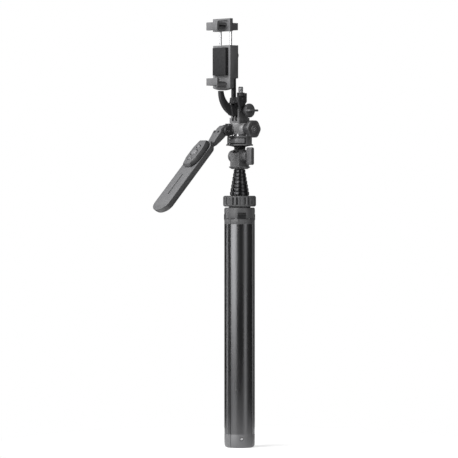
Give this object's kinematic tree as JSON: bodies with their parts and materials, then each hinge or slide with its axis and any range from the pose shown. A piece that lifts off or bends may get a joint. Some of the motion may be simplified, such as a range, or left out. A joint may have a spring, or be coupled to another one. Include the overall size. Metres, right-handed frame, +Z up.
{
  "type": "selfie stick",
  "caption": "Telescopic selfie stick with folding stand legs, a panning head, a handle with a remote control and a sprung phone clamp.",
  "frame": {"origin": "middle of the ground face under the folded legs, on the pole's axis", "axes": "+Z up along the pole, -Y the side of the pan handle and the phone's screen, +X the side of the locking knobs"},
  "size_m": [0.0495, 0.1648, 0.546],
  "materials": {
    "leg_aluminium": "dark grey anodised, fine lengthwise brushing",
    "tube_metal": "black anodised",
    "black_plastic": "moulded, fine grain",
    "grey_plastic": "moulded, satin",
    "pale_plastic": "moulded, satin grey",
    "pad_rubber": "soft matte",
    "steel": "plated",
    "circuit_board": "solder mask"
  },
  "bodies": {
    "pole": {"leg_collar": "grey_plastic", "leg_hinge_pins": "steel", "outer_tube": "tube_metal", "pole_end_cap": "black_plastic", "lock_base": "black_plastic", "lock_collet": "black_plastic"},
    "leg_1": {"leg_1_tube": "leg_aluminium", "leg_1_foot": "grey_plastic", "leg_1_hinge": "grey_plastic"},
    "leg_2": {"leg_2_tube": "leg_aluminium", "leg_2_foot": "grey_plastic", "leg_2_hinge": "grey_plastic"},
    "leg_3": {"leg_3_tube": "leg_aluminium", "leg_3_foot": "grey_plastic", "leg_3_hinge": "grey_plastic"},
    "leg_4": {"leg_4_tube": "leg_aluminium", "leg_4_foot": "grey_plastic", "leg_4_hinge": "grey_plastic"},
    "lock_ring": {"lock_ring": "grey_plastic"},
    "section_1": {"section_1": "tube_metal"},
    "section_2": {"section_2": "tube_metal"},
    "section_3": {"section_3": "tube_metal"},
    "section_4": {"section_4": "tube_metal"},
    "section_5": {"section_5": "tube_metal"},
    "section_6": {"section_6": "tube_metal"},
    "section_7": {"section_7": "tube_metal", "lower_clevis": "grey_plastic", "tilt_bolt": "steel", "tilt_nut_cap": "grey_plastic"},
    "tilt_knob": {"tilt_knob": "grey_plastic"},
    "pan_ring": {"pan_base": "grey_plastic", "pan_lever_pin": "steel"},
    "pan_lever": {"pan_lever": "pale_plastic"},
    "head": {"head_body": "pale_plastic", "pan_bearing": "steel", "handle_bracket": "grey_plastic", "handle_pin": "steel", "finger_nut": "steel"},
    "head_knob": {"head_knob": "grey_plastic"},
    "handle": {"handle_body": "grey_plastic", "handle_back": "black_plastic", "handle_screws": "steel"},
    "remote": {"remote_case": "black_plastic", "remote_cover": "grey_plastic", "remote_board": "circuit_board", "remote_cell": "steel"},
    "shutter_button": {"shutter_button": "pale_plastic"},
    "zoom_in_button": {"zoom_in_button": "pale_plastic"},
    "zoom_out_button": {"zoom_out_button": "pale_plastic"},
    "finger_knob": {"finger_knob": "grey_plastic", "finger_bolt": "steel"},
    "arm": {"clamp_arm": "grey_plastic", "accessory_stud": "steel"},
    "clamp": {"clamp_body": "grey_plastic", "clamp_pads": "pad_rubber", "clamp_spring": "steel", "clamp_pivot": "steel"},
    "jaw": {"upper_jaw": "grey_plastic", "upper_jaw_pads": "pad_rubber", "clamp_guide_rods": "steel"}
  },
  "joints": [
    {"name": "leg_1_fold", "type": "hinge", "parent": "pole", "child": "leg_1", "pos_m": [0.01343, -0.00941, 0.296], "axis": [-0.5736, -0.8192, 0], "range_deg": [0, 65]},
    {"name": "leg_2_fold", "type": "hinge", "parent": "pole", "child": "leg_2", "pos_m": [0.00941, 0.01343, 0.296], "axis": [0.8192, -0.5736, 0], "range_deg": [0, 65]},
    {"name": "leg_3_fold", "type": "hinge", "parent": "pole", "child": "leg_3", "pos_m": [-0.01343, 0.00941, 0.296], "axis": [0.5736, 0.8192, 0], "range_deg": [0, 65]},
    {"name": "leg_4_fold", "type": "hinge", "parent": "pole", "child": "leg_4", "pos_m": [-0.00941, -0.01343, 0.296], "axis": [-0.8192, 0.5736, 0], "range_deg": [0, 65]},
    {"name": "lock_ring_turn", "type": "hinge", "parent": "pole", "child": "lock_ring", "pos_m": [0, 0, 0.3145], "axis": [0, 0, 1], "range_deg": [0, 90]},
    {"name": "section_1_slide", "type": "slide", "parent": "pole", "child": "section_1", "axis": [0, 0, 1], "range_m": [0, 0.2]},
    {"name": "section_2_slide", "type": "slide", "parent": "section_1", "child": "section_2", "axis": [0, 0, 1], "range_m": [0, 0.2]},
    {"name": "section_3_slide", "type": "slide", "parent": "section_2", "child": "section_3", "axis": [0, 0, 1], "range_m": [0, 0.2]},
    {"name": "section_4_slide", "type": "slide", "parent": "section_3", "child": "section_4", "axis": [0, 0, 1], "range_m": [0, 0.2]},
    {"name": "section_5_slide", "type": "slide", "parent": "section_4", "child": "section_5", "axis": [0, 0, 1], "range_m": [0, 0.2]},
    {"name": "section_6_slide", "type": "slide", "parent": "section_5", "child": "section_6", "axis": [0, 0, 1], "range_m": [0, 0.2]},
    {"name": "section_7_slide", "type": "slide", "parent": "section_6", "child": "section_7", "axis": [0, 0, 1], "range_m": [0, 0.2]},
    {"name": "tilt_knob_turn", "type": "hinge", "parent": "section_7", "child": "tilt_knob", "pos_m": [0.016, 0, 0.3715], "axis": [1, 0, 0], "range_deg": [0, 180]},
    {"name": "head_tilt", "type": "hinge", "parent": "section_7", "child": "pan_ring", "pos_m": [0, 0, 0.3715], "axis": [1, 0, 0], "range_deg": [-80, 0]},
    {"name": "pan_lever_swing", "type": "hinge", "parent": "pan_ring", "child": "pan_lever", "pos_m": [-0.00389, -0.01355, 0.391], "axis": [0, 0, 1], "range_deg": [-45, 0]},
    {"name": "head_pan", "type": "hinge", "parent": "pan_ring", "child": "head", "pos_m": [0, 0, 0.3975], "axis": [0, 0, 1], "continuous": true},
    {"name": "head_knob_turn", "type": "hinge", "parent": "head", "child": "head_knob", "pos_m": [0.02, 0, 0.406], "axis": [1, 0, 0], "range_deg": [0, 180]},
    {"name": "handle_tilt", "type": "hinge", "parent": "head", "child": "handle", "pos_m": [0, -0.027, 0.403], "axis": [1, 0, 0], "range_deg": [-45, 45]},
    {"name": "remote_release", "type": "slide", "parent": "handle", "child": "remote", "axis": [0, -0.7071, 0.7071], "range_m": [0, 0.015]},
    {"name": "shutter_press", "type": "slide", "parent": "remote", "child": "shutter_button", "axis": [0, -0.7071, 0.7071], "range_m": [-0.0005, 0], "stiffness_N_per_m": 300, "springref_m": 0.0003},
    {"name": "zoom_in_press", "type": "slide", "parent": "remote", "child": "zoom_in_button", "axis": [0, -0.7071, 0.7071], "range_m": [-0.0005, 0], "stiffness_N_per_m": 300, "springref_m": 0.0003},
    {"name": "zoom_out_press", "type": "slide", "parent": "remote", "child": "zoom_out_button", "axis": [0, -0.7071, 0.7071], "range_m": [-0.0005, 0], "stiffness_N_per_m": 300, "springref_m": 0.0003},
    {"name": "finger_knob_turn", "type": "hinge", "parent": "head", "child": "finger_knob", "pos_m": [0.011, 0, 0.4296], "axis": [1, 0, 0], "range_deg": [0, 180]},
    {"name": "arm_tilt", "type": "hinge", "parent": "head", "child": "arm", "pos_m": [0, 0, 0.4296], "axis": [1, 0, 0], "range_deg": [-60, 3]},
    {"name": "clamp_turn", "type": "hinge", "parent": "arm", "child": "clamp", "pos_m": [0, -0.0175, 0.5], "axis": [0, 1, 0], "range_deg": [-90, 90]},
    {"name": "jaw_slide", "type": "slide", "parent": "clamp", "child": "jaw", "axis": [0, 0, 1], "range_m": [-0.015, 0.012], "deforming": ["clamp_spring"]}
  ]
}
